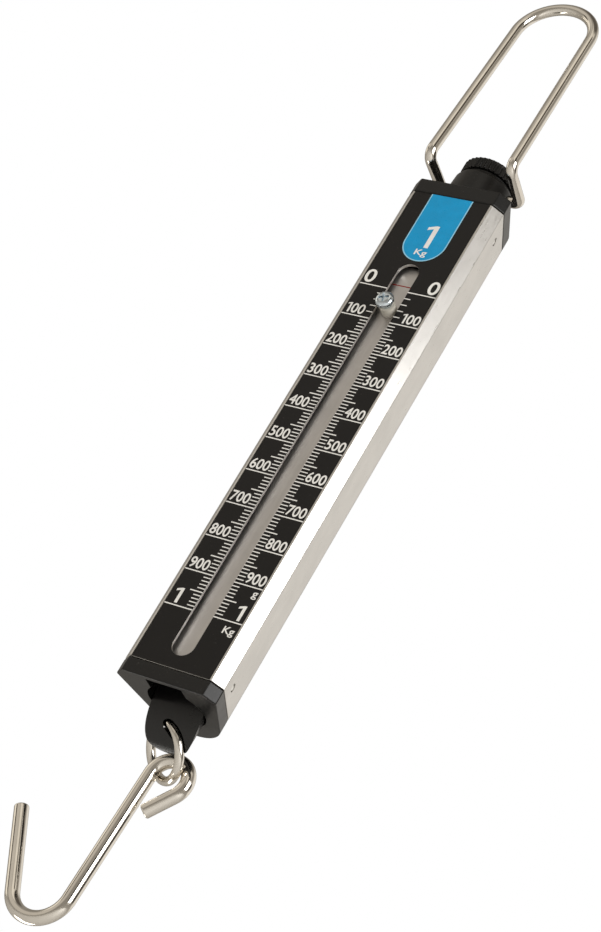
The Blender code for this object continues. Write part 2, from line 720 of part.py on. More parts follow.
def ring_path(swing=0.0, steps=64):
    """The ring's centre line, swung about its own tangent at the middle of the hole."""
    pivot = ring_point(RING_PIVOT_ANGLE)
    tangent = ring_point(RING_PIVOT_ANGLE - 0.01) - ring_point(RING_PIVOT_ANGLE + 0.01)
    turn = Matrix.Rotation(swing, 3, tangent.normalized())
    points = [ring_point(2 * pi * i / steps) for i in range(steps)]
    return [pivot + turn @ (point - pivot) for point in points]


def build_rivets():
    """Two rivets that hold the strip to the puller's pad."""
    for side in (-1, 1):
        matrix = Matrix.Translation((side * RIVET_X, 0.0, RIVET_Z)) @ TO_FRONT
        front = -(STRIP_Y - 0.1)
        profile = [(RIVET_R, -5.4), (RIVET_R, front), (RIVET_R + 0.6, front), (RIVET_R + 0.6, front + 0.2)]
        profile.append((RIVET_R + 0.1, front + 0.55))
        place(f"puller_rivet_{side_name(side)}", turned(profile, 20, matrix), STEEL)


def build_ring():
    pivot = ring_point(RING_PIVOT_ANGLE)
    place("ring", wire(ring_path(0.0, 48), RING_WIRE_R, 12, closed=True), NICKEL, pivot)


def build_hook():
    """One wire: a tip, a bend, a straight shank, an eye round the ring and a short tail."""
    tip_start = BEND_CENTRE - BEND_R * Vector((cos(TIP_LEAN), sin(TIP_LEAN)))
    points = [tip_start + TIP_LONG * Vector((-sin(TIP_LEAN), cos(TIP_LEAN)))]
    points += [Vector(p) for p in arc(BEND_R, BEND_CENTRE, pi + TIP_LEAN, 2 * pi, 16)]
    points += [Vector(p) for p in arc(EYE_R, (EYE_X, EYE_Z), pi, TAIL_ANGLE, 24)]
    tail = Vector((sin(TAIL_ANGLE), -cos(TAIL_ANGLE)))
    points.append(points[-1] + TAIL_LONG * tail)
    path = with_end_chamfers([Vector((p.x, HOOK_Y, p.y)) for p in points], 0.35)
    contact = ring_path()[HOOK_CONTACT]
    place("hook", wire(path, HOOK_WIRE_R, 12, ends=0.75), NICKEL, contact)


clear_scene()
build_case_tube()
build_scale_plate()
build_top_cap()
build_bottom_cap()
build_cap_pins()
build_adjuster_guide()
build_stop_bumper()
build_handle()
build_knob()
build_knob_nut()
build_knob_washer()
build_adjuster_rod()
build_spring()
build_carriage_strip()
build_guide_block()
build_pointer()
build_puller()
build_rivets()
build_ring()
build_hook()
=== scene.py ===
"""Looks of the hanging spring scale: finer metal and plastic pieces, the printed dial, studio and camera."""

from math import asin, ceil, cos, pi, radians, sin, tau

import bmesh
import bpy
from mathutils import Matrix, Vector


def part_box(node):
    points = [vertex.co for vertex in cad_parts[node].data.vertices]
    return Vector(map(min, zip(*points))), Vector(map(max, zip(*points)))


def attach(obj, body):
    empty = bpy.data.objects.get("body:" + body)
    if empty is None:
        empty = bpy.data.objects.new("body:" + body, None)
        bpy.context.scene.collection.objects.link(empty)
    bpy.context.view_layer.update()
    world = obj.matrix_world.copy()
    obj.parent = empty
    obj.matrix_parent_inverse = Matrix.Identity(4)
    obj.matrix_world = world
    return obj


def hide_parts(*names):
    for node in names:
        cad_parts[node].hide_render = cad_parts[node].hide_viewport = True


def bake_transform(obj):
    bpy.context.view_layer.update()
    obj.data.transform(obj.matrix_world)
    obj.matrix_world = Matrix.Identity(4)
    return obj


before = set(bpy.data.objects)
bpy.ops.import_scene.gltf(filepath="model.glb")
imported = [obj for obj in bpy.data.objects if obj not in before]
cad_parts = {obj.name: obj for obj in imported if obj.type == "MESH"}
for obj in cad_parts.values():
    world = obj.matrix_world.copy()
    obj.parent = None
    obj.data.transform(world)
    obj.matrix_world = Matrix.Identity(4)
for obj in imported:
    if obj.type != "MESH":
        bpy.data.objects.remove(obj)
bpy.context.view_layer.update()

MM = 0.001

# How far a cutter stands past what it cuts.
OVER = 1.0

# Design frame, in millimetres: x to the right, y from the front face into the case, z up from zero.
# The frame's own origin is under the top of the handle's loop.
HANDLE_R = 1.5
HANDLE_BENDS = [1.9, 2.6]
HANDLE_DOME = 0.3
HANDLE_HOLE_GAP = 0.08
HANDLE_HOLE_END = 0.3
HANDLE_HOLE_X = 12.0
PIVOT_IN_X = 4.9
PIVOT_Z = 41.7
CORNER_X = 11.5
KNEE = Vector((11.86, -2.28, 41.9))
LOOP_R = 10.85
LOOP_Y = 1.0
LOOP_Z = 90.4
LOOP_LEAN = 0.0674
ORIGIN = Vector((0.0, LOOP_Y + LOOP_LEAN * LOOP_R, LOOP_Z + LOOP_R - HANDLE_R))


def measured(node):
    """The lowest and highest corners of a CAD node in design millimetres."""
    low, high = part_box(node)
    return Vector(low) / MM + ORIGIN, Vector(high) / MM + ORIGIN


# Case
FRONT_HALF = 11.35
CHAMFER_X = 2.6
CHAMFER_Y = 2.85
TAPER_X = 4.4
SIDE_END_Y = 17.1
BACK_Y = measured("case_tube")[1].y
CASE_BOTTOM = measured("case_tube")[0].z
CASE_TOP = measured("case_tube")[1].z
WALL = 1.2
CASE_EDGE = 0.22
OUTSIDE_X = 16.0
RECESS_DEEP = 0.6
RECESS_LIP = 0.35
PLATE_FRONT = measured("scale_plate")[0].y
PLATE_BACK = measured("scale_plate")[1].y
PLATE_HALF = measured("scale_plate")[1].x
PLATE_EDGE = 0.1
SLOT_R = 2.98
SLOT_STEP = 0.3
SLOT_TOP = 5.6
SLOT_BOTTOM = -108.9
PIN_R = 1.0
PIN_GAP = 0.1
PIN_POCKET_GAP = 0.05
PIN_POCKET_END = 0.3
PIN_Y = 8.0
PIN_LONG = 3.2
PIN_TOP_Z = 26.3
PIN_LOW_Z = -112.0

# Caps
GAP = 0.15
CAP_TOP = 35.85
CAP_BOTTOM = measured("bottom_cap")[0].z
TOP_CAP_EDGE = 0.35
LOW_CAP_EDGE = 0.3
SPIGOT_GAP = 0.25
SPIGOT_ROOT = 1.0
SPIGOT_TOP_END = measured("top_cap")[0].z
SPIGOT_LOW_END = measured("bottom_cap")[1].z
AXIS_Y = 10.64
BOSS = [(8.95, 34.35), (8.95, 35.85), (8.7, 36.35), (8.6, 36.9), (8.2, 43.0), (7.75, 43.95), (7.3, 44.3)]
BOSS_BORE_R = 2.5
GUIDE_TOP = 28.4
GUIDE_R = 6.5
GUIDE_GAP = 0.15

# Knob: its foot and crown are rows of (change of radius, share of the flutes' depth, height or drop).
KNOB_BOTTOM = measured("zero_knob")[0].z
KNOB_TOP = measured("zero_knob")[1].z
KNOB_R = 7.8
KNOB_FLUTES = 36
FLUTE_DEEP = 0.5
FLUTE_POWER = 0.6
KNOB_FOOT = [(-0.35, 0.2, 0.0), (-0.1, 0.6, 0.12), (0.0, 1.0, 0.35)]
KNOB_CROWN = [(0.0, 1.0, 0.6), (-0.08, 0.8, 0.32), (-0.28, 0.4, 0.1), (-0.55, 0.0, 0.0)]
NUT_HEX_R = 4.35
NUT_SEAT = 45.35
KNOB_BORE_R = 2.45

# Spring
SPRING_R = 6.2
SPRING_WIRE_R = 0.35
SPRING_TURNS = 12.5
SPRING_PITCH = 0.76
SPRING_LOOP_R = 1.9
SPRING_LOOP_TURN = radians(300)
SPRING_LOOP_SHIFT = 0.9
SPRING_LEAVES = 3.0
SPRING_ARRIVES = 2.4
ROD_EYE_Z = 20.8
BLOCK_EYE_Z = 4.6

# Pointer screw: the cross recess narrows from its mouth to its floor, each a half length and half width.
POINTER_Z = -5.4
HEAD_R = 2.4
HEAD_EDGE = 0.12
HEAD_RIM = 0.5
HEAD_FLAT = 0.34
CROSS_DEEP = 0.95
CROSS_PAST = 0.4
CROSS_FLOOR = (0.85, 0.24)
CROSS_MOUTH = (1.75, 0.36)
CROSS_TURN = radians(20)
HEAD_UNDER_Y = -2.1
HEAD_TOP_Y = -3.7
SCREW_R = 1.3
SCREW_END = (0.2, 0.25)
SCREW_BACK_Y = measured("pointer_screw")[1].y
STRIP_FRONT = measured("carriage_strip")[0].y
INDEX_Z = 3.0
INDEX_HALF = 3.6
INDEX_THICK = 0.3

# Puller
PULLER_R = 7.3
PULLER_EDGE = 1.2
PULLER_TOP = measured("hook_puller")[1].z
PULLER_BOTTOM = measured("hook_puller")[0].z
PAD_HALF = 4.6
PAD_FRONT = 2.85
PAD_TOP_DROP = 0.5
PAD_BOTTOM = -115.3
OPENING_GAP = 0.4
STRIP_WAY_Y = 1.2
NOSE_CENTRE_Y = 17.9
NOSE_CENTRE_Z = -102.9
NOSE_REACH = 9.0
NOSE_DROP = 25.8
NOSE_TOP_STEP = 0.1
RIVET_X = 2.7
RIVET_Z = -113.3
RIVET_R = 0.7
RIVET_GAP = 0.05
RIVET_HOLE = (-6.0, 5.0)

# Ring and hook
RING_R = 6.9
RING_WIRE_R = 1.15
RING_CENTRE = Vector((-1.8, 18.6, -127.6))
RING_NORMAL = Vector((0.45, 0.64, 0.62)).normalized()
RING_PIVOT_ANGLE = radians(80)
RING_SWING = radians(-40)
TUNNEL_R = 1.45
HOOK_WIRE_R = 1.8
HOOK_DOME = 0.5
HOOK_Y = 20.6
EYE_X = 1.6
EYE_Z = -133.2
EYE_R = 5.0
TAIL_ANGLE = radians(-40)
TAIL_LONG = 8.1
BEND_R = 7.6
BEND_CENTRE = Vector((-12.6, -167.6))
TIP_LEAN = radians(27.3)
TIP_LONG = 22.6

# Print on the dial: raised a little above the plate, with its back a little clear of it.
INK = 0.025
INK_CLEAR = 0.002
KILOGRAM = 100.0
LINE_THICK = 0.3
TICK_THICK = 0.27
SHORT_TICK = 2.05
MIDDLE_TICK = 3.5
FIRST_TICK = 1.75
NUMBER_HIGH = 3.05
NUMBER_WIDE = 5.3
NUMBER_LIFT = 0.62
EDGE_GAP = 0.3
BIG_HIGH = 4.2
ZERO_WIDE = 3.0
ONE_WIDE = 1.9
ONE_INSET = 0.9
BIG_STEM = 0.8
SMALL_STEM = 0.5
SMALL_ONE = (0.1, 1.25)
AFTER_SMALL_ONE = 1.6
BOLD = 0.014

# Boxes for lettering are x0, x1, z0, z1; the two units' x is from the plate's right margin.
GRAM_BOX = (-1.5, -0.1, -93.1, -91.1)
KILOGRAM_BOX = (-3.5, -0.4, -104.0, -101.4)
BADGE_INK = 0.06
BADGE_ONE_BOX = (-1.6, 1.3, 14.3, 21.6)
BADGE_ONE_STEM = 1.25
BADGE_UNIT_BOX = (-1.5, 1.9, 11.2, 13.6)
BADGE_HALF = 6.0
BADGE_CENTRE_Z = 15.81
BADGE_BORDER = 0.32

# Studio, in metres: directions are towards the light, seen from the scale.
MIDDLE = Vector((0.0, 0.005, -0.14))
KEY_DIRECTION = Vector((0.80, -0.40, 0.14)).normalized()
LOW_DIRECTION = Vector((-0.13, 0.10, -0.31))
FILL_DIRECTION = Vector((-0.4, -0.7, 0.7))
FLOOR_Z = -0.50
CAMERA_AT = Vector((0.306726, -0.450811, -0.418610))
CAMERA_RIGHT = Vector((0.835842, 0.295064, 0.462931))
CAMERA_BACK = Vector((0.504571, -0.745142, -0.436086))
CAMERA_LENS = 98.436
CAMERA_SHIFT = (-0.0005, 0.00185)

# The room that the metal reflects: patches of (direction, cosine where it starts, cosine where it is
# full, colour) over a warm grey. The later ones lie over the earlier ones.
ROOM_GREY = (0.32, 0.295, 0.26)
ROOM = [
    (Vector((0.45, 0.80, 0.38)), 0.68, 0.93, (0.92, 0.88, 0.82)),  # wide bright wall behind
    (Vector((0.28, -0.66, 0.75)), 0.84, 0.93, (0.90, 0.84, 0.74)),  # bright card in front, above
    (Vector((0.50, -0.64, 0.58)), 0.955, 0.98, (0.10, 0.085, 0.07)),  # dark gap beside that card
    (Vector((-0.51, -0.76, 0.42)), 0.88, 0.97, (0.62, 0.575, 0.51)),  # softer card at the front left
    (Vector((-0.95, -0.20, 0.25)), 0.90, 0.97, (1.05, 0.98, 0.86)),  # bright card at the left
    (Vector((-0.86, -0.50, 0.20)), 0.984, 0.994, (0.07, 0.06, 0.05)),  # dark gap between the two
    (Vector((0.62, -0.72, 0.30)), 0.955, 0.985, (0.03, 0.028, 0.025)),  # dark card at the front right
    (Vector((0.93, 0.30, 0.25)), 0.965, 0.985, (0.05, 0.045, 0.04)),  # dark card at the right
    (Vector((0.05, -0.15, 1.0)), 0.86, 0.95, (0.12, 0.105, 0.09)),  # dark ceiling
]

PLASTIC_GLOSS = 0.25

TO_FRONT = Matrix.Rotation(radians(90), 4, "X")
TO_RIGHT = Matrix.Rotation(radians(90), 4, "Y")


# Materials ----------------------------------------------------------------------------------------


class Shader:
    """A Principled material with a few helpers for its nodes."""

    def __init__(self, name, colour, roughness, metallic=0.0):
        self.material = bpy.data.materials.new(name)
        self.material.use_nodes = True
        self.tree = self.material.node_tree
        self.principled = self.tree.nodes["Principled BSDF"]
        self.principled.inputs["Metallic"].default_value = metallic
        self.principled.inputs["Roughness"].default_value = roughness
        self.principled.inputs["Base Color"].default_value = (*colour, 1.0)
        self.coordinates = self.tree.nodes.new("ShaderNodeTexCoord").outputs["Object"]

    def link(self, output, target):
        self.tree.links.new(output, target)

    def noise(self, stretch, detail=4.0, roughness=0.55):
        """Noise in the object's own metres, with its own scale per metre along each axis."""
        mapping = self.tree.nodes.new("ShaderNodeMapping")
        mapping.inputs["Scale"].default_value = stretch
        self.link(self.coordinates, mapping.inputs["Vector"])
        texture = self.tree.nodes.new("ShaderNodeTexNoise")
        texture.inputs["Scale"].default_value = 1.0
        texture.inputs["Detail"].default_value = detail
        texture.inputs["Roughness"].default_value = roughness
        self.link(mapping.outputs["Vector"], texture.inputs["Vector"])
        return texture.outputs["Fac"]

    def ranged(self, value, low, high, start=0.3, end=0.7):
        """Maps a value from start..end to low..high."""
        node = self.tree.nodes.new("ShaderNodeMapRange")
        settings = (("From Min", start), ("From Max", end), ("To Min", low), ("To Max", high))
        for socket, number in settings:
            node.inputs[socket].default_value = number
        self.link(value, node.inputs["Value"])
        return node.outputs["Result"]

    def mixed(self, value, first, second):
        """Mixes from a colour, or from another node's colour, to the second colour."""
        node = self.tree.nodes.new("ShaderNodeMix")
        node.data_type = "RGBA"
        node.inputs["B"].default_value = (*second, 1.0)
        if isinstance(first, tuple):
            node.inputs["A"].default_value = (*first, 1.0)
        else:
            self.link(first, node.inputs["A"])
        self.link(value, node.inputs["Factor"])
        return node.outputs["Result"]

    def bump(self, height, distance, strength=1.0, under=None):
        """Bump of a height in metres, over another bump if given."""
        node = self.tree.nodes.new("ShaderNodeBump")
        node.inputs["Strength"].default_value = strength
        node.inputs["Distance"].default_value = distance
        self.link(height, node.inputs["Height"])
        if under:
            self.link(under, node.inputs["Normal"])
        self.link(node.outputs["Normal"], self.principled.inputs["Normal"])
        return node.outputs["Normal"]

    def set(self, socket, output):
        self.link(output, self.principled.inputs[socket])


def shade(colour, factor):
    return tuple(min(1.0, channel * factor) for channel in colour)


def metal(name, colour, rough, grain, depth, mottle=120.0, specks=0.0):
    """Metal with fine grain in its roughness and relief, soft mottling and a few dull specks."""
    shader = Shader(name, colour, rough[0], metallic=1.0)
    fine = shader.noise(grain, detail=6.0)
    coarse = shader.noise((mottle,) * 3, detail=3.0)
    base = shader.mixed(shader.ranged(coarse, 0.0, 1.0), shade(colour, 0.93), shade(colour, 1.04))
    if specks:
        spots = shader.noise((2600.0, 2600.0, 2600.0), detail=2.0)
        base = shader.mixed(shader.ranged(spots, 0.0, specks, 0.68, 0.76), base, shade(colour, 0.55))
    shader.set("Base Color", base)
    shader.set("Roughness", shader.ranged(fine, rough[0], rough[1]))
    waves = shader.bump(coarse, depth * 6.0, 0.5)
    shader.bump(fine, depth, 1.0, waves)
    return shader.material


def plastic(name, colour, rough, grain, depth, dust=0.0, gloss=PLASTIC_GLOSS):
    """Moulded plastic: fine texture, slow sheen changes and, where asked, a little grey dust."""
    shader = Shader(name, colour, rough[0])
    shader.principled.inputs["Specular IOR Level"].default_value = gloss
    fine = shader.noise((grain,) * 3, detail=3.0)
    coarse = shader.noise((90.0, 90.0, 60.0), detail=4.0)
    base = shader.mixed(shader.ranged(coarse, 0.0, 1.0), shade(colour, 0.85), shade(colour, 1.15))
    if dust:
        motes = shader.noise((1900.0,) * 3, detail=1.0)
        base = shader.mixed(shader.ranged(motes, 0.0, dust, 0.72, 0.80), base, (0.25, 0.24, 0.22))
    shader.set("Base Color", base)
    shader.set("Roughness", shader.ranged(coarse, rough[0], rough[1]))
    shader.bump(fine, depth)
    return shader.material


def ink(name, colour, roughness=0.4):
    """Screen print: even colour that thins a little here and there, with a faint pebbled surface."""
    shader = Shader(name, colour, roughness)
    shader.principled.inputs["Specular IOR Level"].default_value = PLASTIC_GLOSS
    fine = shader.noise((3000.0,) * 3, detail=2.0)
    patches = shader.noise((420.0,) * 3, detail=3.0)
    shader.set("Base Color", shader.mixed(shader.ranged(patches, 0.0, 1.0), colour, shade(colour, 0.9)))
    shader.set("Roughness", shader.ranged(fine, roughness - 0.06, roughness + 0.08))
    shader.bump(fine, 0.000004)
    return shader.material


def make_materials():
    return {
        "aluminium": metal(
            "satin_aluminium",
            (0.66, 0.645, 0.62),
            (0.27, 0.33),
            (2600.0, 2600.0, 260.0),
            0.000003,
            specks=0.1,
        ),
        "bare_edge": metal(
            "cut_aluminium", (0.80, 0.79, 0.76), (0.3, 0.45), (1500.0, 1500.0, 300.0), 0.000004
        ),
        "nickel": metal("nickel_plate", (0.76, 0.72, 0.655), (0.06, 0.15), (900.0, 900.0, 500.0), 0.000005),
        "strip": metal("brushed_strip", (0.60, 0.58, 0.565), (0.34, 0.5), (3000.0, 3000.0, 50.0), 0.000004),
        "steel": metal("plain_steel", (0.50, 0.50, 0.50), (0.25, 0.4), (1800.0, 1800.0, 600.0), 0.000004),
        "zinc": metal("zinc_plate", (0.68, 0.75, 0.80), (0.14, 0.28), (1500.0,) * 3, 0.000006, specks=0.4),
        "brass": metal("brass", (0.74, 0.55, 0.24), (0.22, 0.36), (1500.0,) * 3, 0.000004),
        "black": plastic(
            "black_plastic", (0.0065, 0.0062, 0.0058), (0.26, 0.38), 2600.0, 0.000012, dust=0.12, gloss=0.33
        ),
        "puller": plastic("puller_plastic", (0.005, 0.0048, 0.0048), (0.2, 0.3), 2400.0, 0.000012, gloss=0.5),
        "nylon": plastic("natural_nylon", (0.60, 0.57, 0.50), (0.4, 0.55), 1800.0, 0.00001),
        "rubber": plastic("rubber", (0.016, 0.016, 0.016), (0.7, 0.9), 1500.0, 0.00003),
        "label": plastic("label_black", (0.0072, 0.0064, 0.0060), (0.36, 0.46), 3500.0, 0.000004, dust=0.1),
        "white": ink("print_white", (0.84, 0.83, 0.80)),
        "blue": ink("badge_blue", (0.0, 0.30, 0.60), 0.32),
        "pale_blue": ink("badge_edge", (0.30, 0.62, 0.80)),
        "red": ink("index_red", (0.30, 0.02, 0.015)),
    }


MATERIALS = make_materials()


# Placing ------------------------------------------------------------------------------------------


def place(name, bm, *materials):
    """Makes an object from a mesh in design millimetres."""
    bmesh.ops.recalc_face_normals(bm, faces=bm.faces[:])
    for vertex in bm.verts:
        vertex.co = (vertex.co - ORIGIN) * MM
    mesh = bpy.data.meshes.new(name)
    bm.to_mesh(mesh)
    bm.free()
    thing = bpy.data.objects.new(name, mesh)
    for key in materials:
        mesh.materials.append(MATERIALS[key])
    bpy.context.scene.collection.objects.link(thing)
    return thing


def combine(target, bm, operation):
    """Cuts a mesh from the target, or adds it."""
    helper = place("helper", bm)
    boolean = target.modifiers.new(operation, "BOOLEAN")
    boolean.object = helper
    boolean.operation = operation
    boolean.solver = "EXACT"
    apply_modifiers(target)
    bpy.data.objects.remove(helper)


def cut(target, bm):
    combine(target, bm, "DIFFERENCE")


def join(target, bm):
    combine(target, bm, "UNION")


def soften(thing, width, segments=3, angle=radians(25)):
    bevel = thing.modifiers.new("edges", "BEVEL")
    bevel.width = width * MM
    bevel.segments = segments
    bevel.limit_method = "ANGLE"
    bevel.angle_limit = angle
    apply_modifiers(thing)


def apply_modifiers(thing):
    bpy.context.view_layer.update()
    graph = bpy.context.evaluated_depsgraph_get()
    mesh = bpy.data.meshes.new_from_object(thing.evaluated_get(graph))
    thing.modifiers.clear()
    thing.data = mesh


def smooth(thing, angle=radians(30)):
    thing.data.shade_smooth()
    thing.data.set_sharp_from_angle(angle=angle)
    weighted = thing.modifiers.new("normals", "WEIGHTED_NORMAL")
    weighted.keep_sharp = True


def settle(thing, body, slot, *nodes):
    """Smooths a finished piece, hangs it on its body and lets it stand for its CAD nodes."""
    smooth(thing)
    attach(thing, body)
    if nodes:
        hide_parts(*nodes)


# Outlines -----------------------------------------------------------------------------------------


def circle(radius, steps=64, centre=(0.0, 0.0)):
    angles = [tau * step / steps for step in range(steps)]
    return [(centre[0] + radius * cos(a), centre[1] + radius * sin(a)) for a in angles]


def arc(radius, centre, start, end, steps):
    angles = [start + (end - start) * step / steps for step in range(steps + 1)]
    return [(centre[0] + radius * cos(a), centre[1] + radius * sin(a)) for a in angles]


def rectangle(x0, y0, x1, y1):
    return [(x0, y0), (x1, y0), (x1, y1), (x0, y1)]


def section(steps=40):
    """The case's outer outline, counter-clockwise."""
    side_x = FRONT_HALF + CHAMFER_X
    end_x = side_x - TAPER_X
    centre = (BACK_Y**2 - SIDE_END_Y**2 - end_x**2) / (2 * (BACK_Y - SIDE_END_Y))
    radius = BACK_Y - centre
    reach = asin(end_x / radius)
    right = [(FRONT_HALF, 0.0), (side_x, CHAMFER_Y)]
    left = [(-x, y) for x, y in reversed(right)]
    return right + arc(radius, (0.0, centre), pi / 2 - reach, pi / 2 + reach, steps) + left


def inset(outline, distance):
    """The outline moved inwards along its corners' bisectors."""
    points = []
    count = len(outline)
    for i, point in enumerate(outline):
        here = Vector(point)
        before = (here - Vector(outline[i - 1])).normalized()
        after = (Vector(outline[(i + 1) % count]) - here).normalized()
        bisector = Vector((-before.y - after.y, before.x + after.x)).normalized()
        reach = distance / Vector((-before.y, before.x)).dot(bisector)
        points.append(tuple(here + bisector * reach))
    return points


def slot_outline(radius, low, high, steps=28):
    top = arc(radius, (0.0, high), 0.0, pi, steps)
    bottom = arc(radius, (0.0, low), pi, tau, steps)
    return top + bottom


def half_width(y):
    """Half the width of the case's straight sides at a depth."""
    return FRONT_HALF + CHAMFER_X - TAPER_X * (y - CHAMFER_Y) / (SIDE_END_Y - CHAMFER_Y)


# Solids -------------------------------------------------------------------------------------------


def lofted(rows, closed=False):
    """A solid through rows of points; its ends are closed by flat faces unless the rows close."""
    bm = bmesh.new()
    loops = [[bm.verts.new(point) for point in row] for row in rows]
    pairs = list(zip(loops, loops[1:]))
    if closed:
        start = min(range(len(loops[0])), key=lambda i: (loops[0][i].co - loops[-1][0].co).length)
        pairs.append((loops[-1], loops[0][start:] + loops[0][:start]))
    else:
        bm.faces.new(reversed(loops[0]))
        bm.faces.new(loops[-1])
    for low, high in pairs:
        for i in range(len(low)):
            bm.faces.new((low[i - 1], low[i], high[i], high[i - 1]))
    return bm


def moved(bm, matrix):
    if matrix:
        bmesh.ops.transform(bm, matrix=matrix, verts=bm.verts[:])
    return bm


def prism(outline, low, high, matrix=None):
    return moved(lofted([[(x, y, z) for x, y in outline] for z in (low, high)]), matrix)


def front_prism(outline, near, far):
    """A prism on an (x, z) outline, from y = near to y = far."""
    return prism(outline, -far, -near, TO_FRONT)


def turned(profile, steps=96, matrix=None):
    """Turns (radius, height) points about the z axis."""
    return moved(lofted([[(x, y, z) for x, y in circle(r, steps)] for r, z in profile]), matrix)


def cylinder(radius, low, high, matrix=None, steps=64):
    return turned([(radius, low), (radius, high)], steps, matrix)


def side_cylinder(radius, x0, x1, y, z):
    """A cylinder along x."""
    return cylinder(radius, x0, x1, Matrix.Translation((0.0, y, z)) @ TO_RIGHT, 48)


def axis_at(z):
    return Matrix.Translation((0.0, AXIS_Y, z))


def wire(path, radius, sides=28, closed=False, dome=0.0):
    """Sweeps a circle along a path, keeping its twist small; dome rounds an open wire's two ends off."""
    count = len(path)
    rows = []
    side = None
    for i, here in enumerate(path):
        before = path[i - 1] if i or closed else here
        after = path[(i + 1) % count] if i + 1 < count or closed else here
        along = (after - before).normalized()
        if side is None:
            side = along.orthogonal().normalized()
        side = (side - along * side.dot(along)).normalized()
        over = along.cross(side)
        circles = [(0.0, 1.0)]
        if dome and i == 0:
            circles = [(-shift, size) for shift, size in domed(dome, radius)]
        elif dome and i == count - 1:
            circles = reversed(domed(dome, radius))
        for shift, size in circles:
            ring = [(x * side + y * over) * radius * size for x, y in circle(1.0, sides)]
            rows.append([here + along * shift + spot for spot in ring])
    return lofted(rows, closed)


def domed(dome, radius, steps=4):
    """The circles of a rounded end, outermost first, as (shift along the wire, share of its radius)."""
    angles = [pi / 2 * (steps - i) / steps for i in range(steps + 1)]
    return [(dome * sin(a), 1.0 - dome / radius * (1.0 - cos(a))) for a in angles]


def drawn_in(path, reach):
    """The path with both ends moved in."""
    first = path[0] + (path[1] - path[0]).normalized() * reach
    last = path[-1] + (path[-2] - path[-1]).normalized() * reach
    return [first] + path[1:-1] + [last]


def filleted(corners, radii, step=radians(4)):
    """A path through the corners with each inner corner replaced by an arc of its radius."""
    path = [corners[0]]
    for before, here, after, radius in zip(corners, corners[1:], corners[2:], radii):
        to_before = (before - here).normalized()
        to_after = (after - here).normalized()
        half = to_before.angle(to_after) / 2
        reach = radius * cos(half) / sin(half)
        centre = here + (to_before + to_after).normalized() * (radius / sin(half))
        start = here + to_before * reach - centre
        end = here + to_after * reach - centre
        turn = start.angle(end)
        axis = start.cross(end).normalized()
        steps = max(2, ceil(turn / step))
        for i in range(steps + 1):
            path.append(centre + Matrix.Rotation(turn * i / steps, 3, axis) @ start)
    return path + [corners[-1]]


def bezier(p0, p1, p2, p3, steps):
    points = []
    for i in range(1, steps):
        t = i / steps
        s = 1 - t
        points.append(p0 * s**3 + p1 * (3 * s * s * t) + p2 * (3 * s * t * t) + p3 * t**3)
    return points


# Case and caps ------------------------------------------------------------------------------------


def build_case_shell():
    shell = place("case_shell", prism(section(), CASE_BOTTOM, CASE_TOP), "aluminium")
    soften(shell, CASE_EDGE)
    cut(shell, prism(inset(section(), WALL), CASE_BOTTOM - OVER, CASE_TOP + OVER))
    half = FRONT_HALF - RECESS_LIP
    panel = rectangle(-half, CASE_BOTTOM - OVER, half, CASE_TOP + OVER)
    cut(shell, front_prism(panel, -OVER, RECESS_DEEP))
    slot = slot_outline(SLOT_R + SLOT_STEP, SLOT_BOTTOM, SLOT_TOP)
    cut(shell, front_prism(slot, -OVER / 2, WALL + OVER / 2))
    for z in (PIN_TOP_Z, PIN_LOW_Z):
        cut(shell, side_cylinder(PIN_R + PIN_GAP, -OUTSIDE_X, OUTSIDE_X, PIN_Y, z))
    settle(shell, "case", "aluminium_case", "case_tube")


def build_label_plate():
    """The printed plate: black on its front, bare metal at its cut edges."""
    panel = rectangle(-PLATE_HALF, CASE_BOTTOM, PLATE_HALF, CASE_TOP)
    plate = place("label_plate", front_prism(panel, PLATE_FRONT, PLATE_BACK), "label", "bare_edge")
    cut(plate, front_prism(slot_outline(SLOT_R, SLOT_BOTTOM, SLOT_TOP), -OVER, 2 * OVER))
    soften(plate, PLATE_EDGE, 2, radians(60))
    for face in plate.data.polygons:
        face.material_index = 0 if face.normal.y < -0.9 else 1
    settle(plate, "case", "label_black", "scale_plate")


def spigot_outline():
    return inset(section(), WALL + SPIGOT_GAP)


def cut_pin_pockets(cap, z):
    reach = half_width(PIN_Y) - PIN_LONG - PIN_POCKET_END
    for side in (-1, 1):
        ends = sorted((side * reach, side * OUTSIDE_X))
        cut(cap, side_cylinder(PIN_R + PIN_POCKET_GAP, *ends, PIN_Y, z))


def build_top_end_cap():
    cap = place("top_end_cap", prism(section(), CASE_TOP + GAP, CAP_TOP), "black")
    soften(cap, TOP_CAP_EDGE, 4)
    join(cap, prism(spigot_outline(), SPIGOT_TOP_END, CASE_TOP + SPIGOT_ROOT))
    join(cap, turned(BOSS, 96, axis_at(0.0)))
    cut(cap, cylinder(BOSS_BORE_R, GUIDE_TOP - OVER / 2, BOSS[-1][1] + 2 * OVER, axis_at(0.0)))
    cut(cap, cylinder(GUIDE_R + GUIDE_GAP, SPIGOT_TOP_END - OVER, GUIDE_TOP + GUIDE_GAP, axis_at(0.0)))
    for side in (-1, 1):
        ends = sorted((side * (PIVOT_IN_X - HANDLE_HOLE_END), side * HANDLE_HOLE_X))
        cut(cap, side_cylinder(HANDLE_R + HANDLE_HOLE_GAP, *ends, AXIS_Y, PIVOT_Z))
    cut_pin_pockets(cap, PIN_TOP_Z)
    settle(cap, "case", "black_plastic", "top_cap")


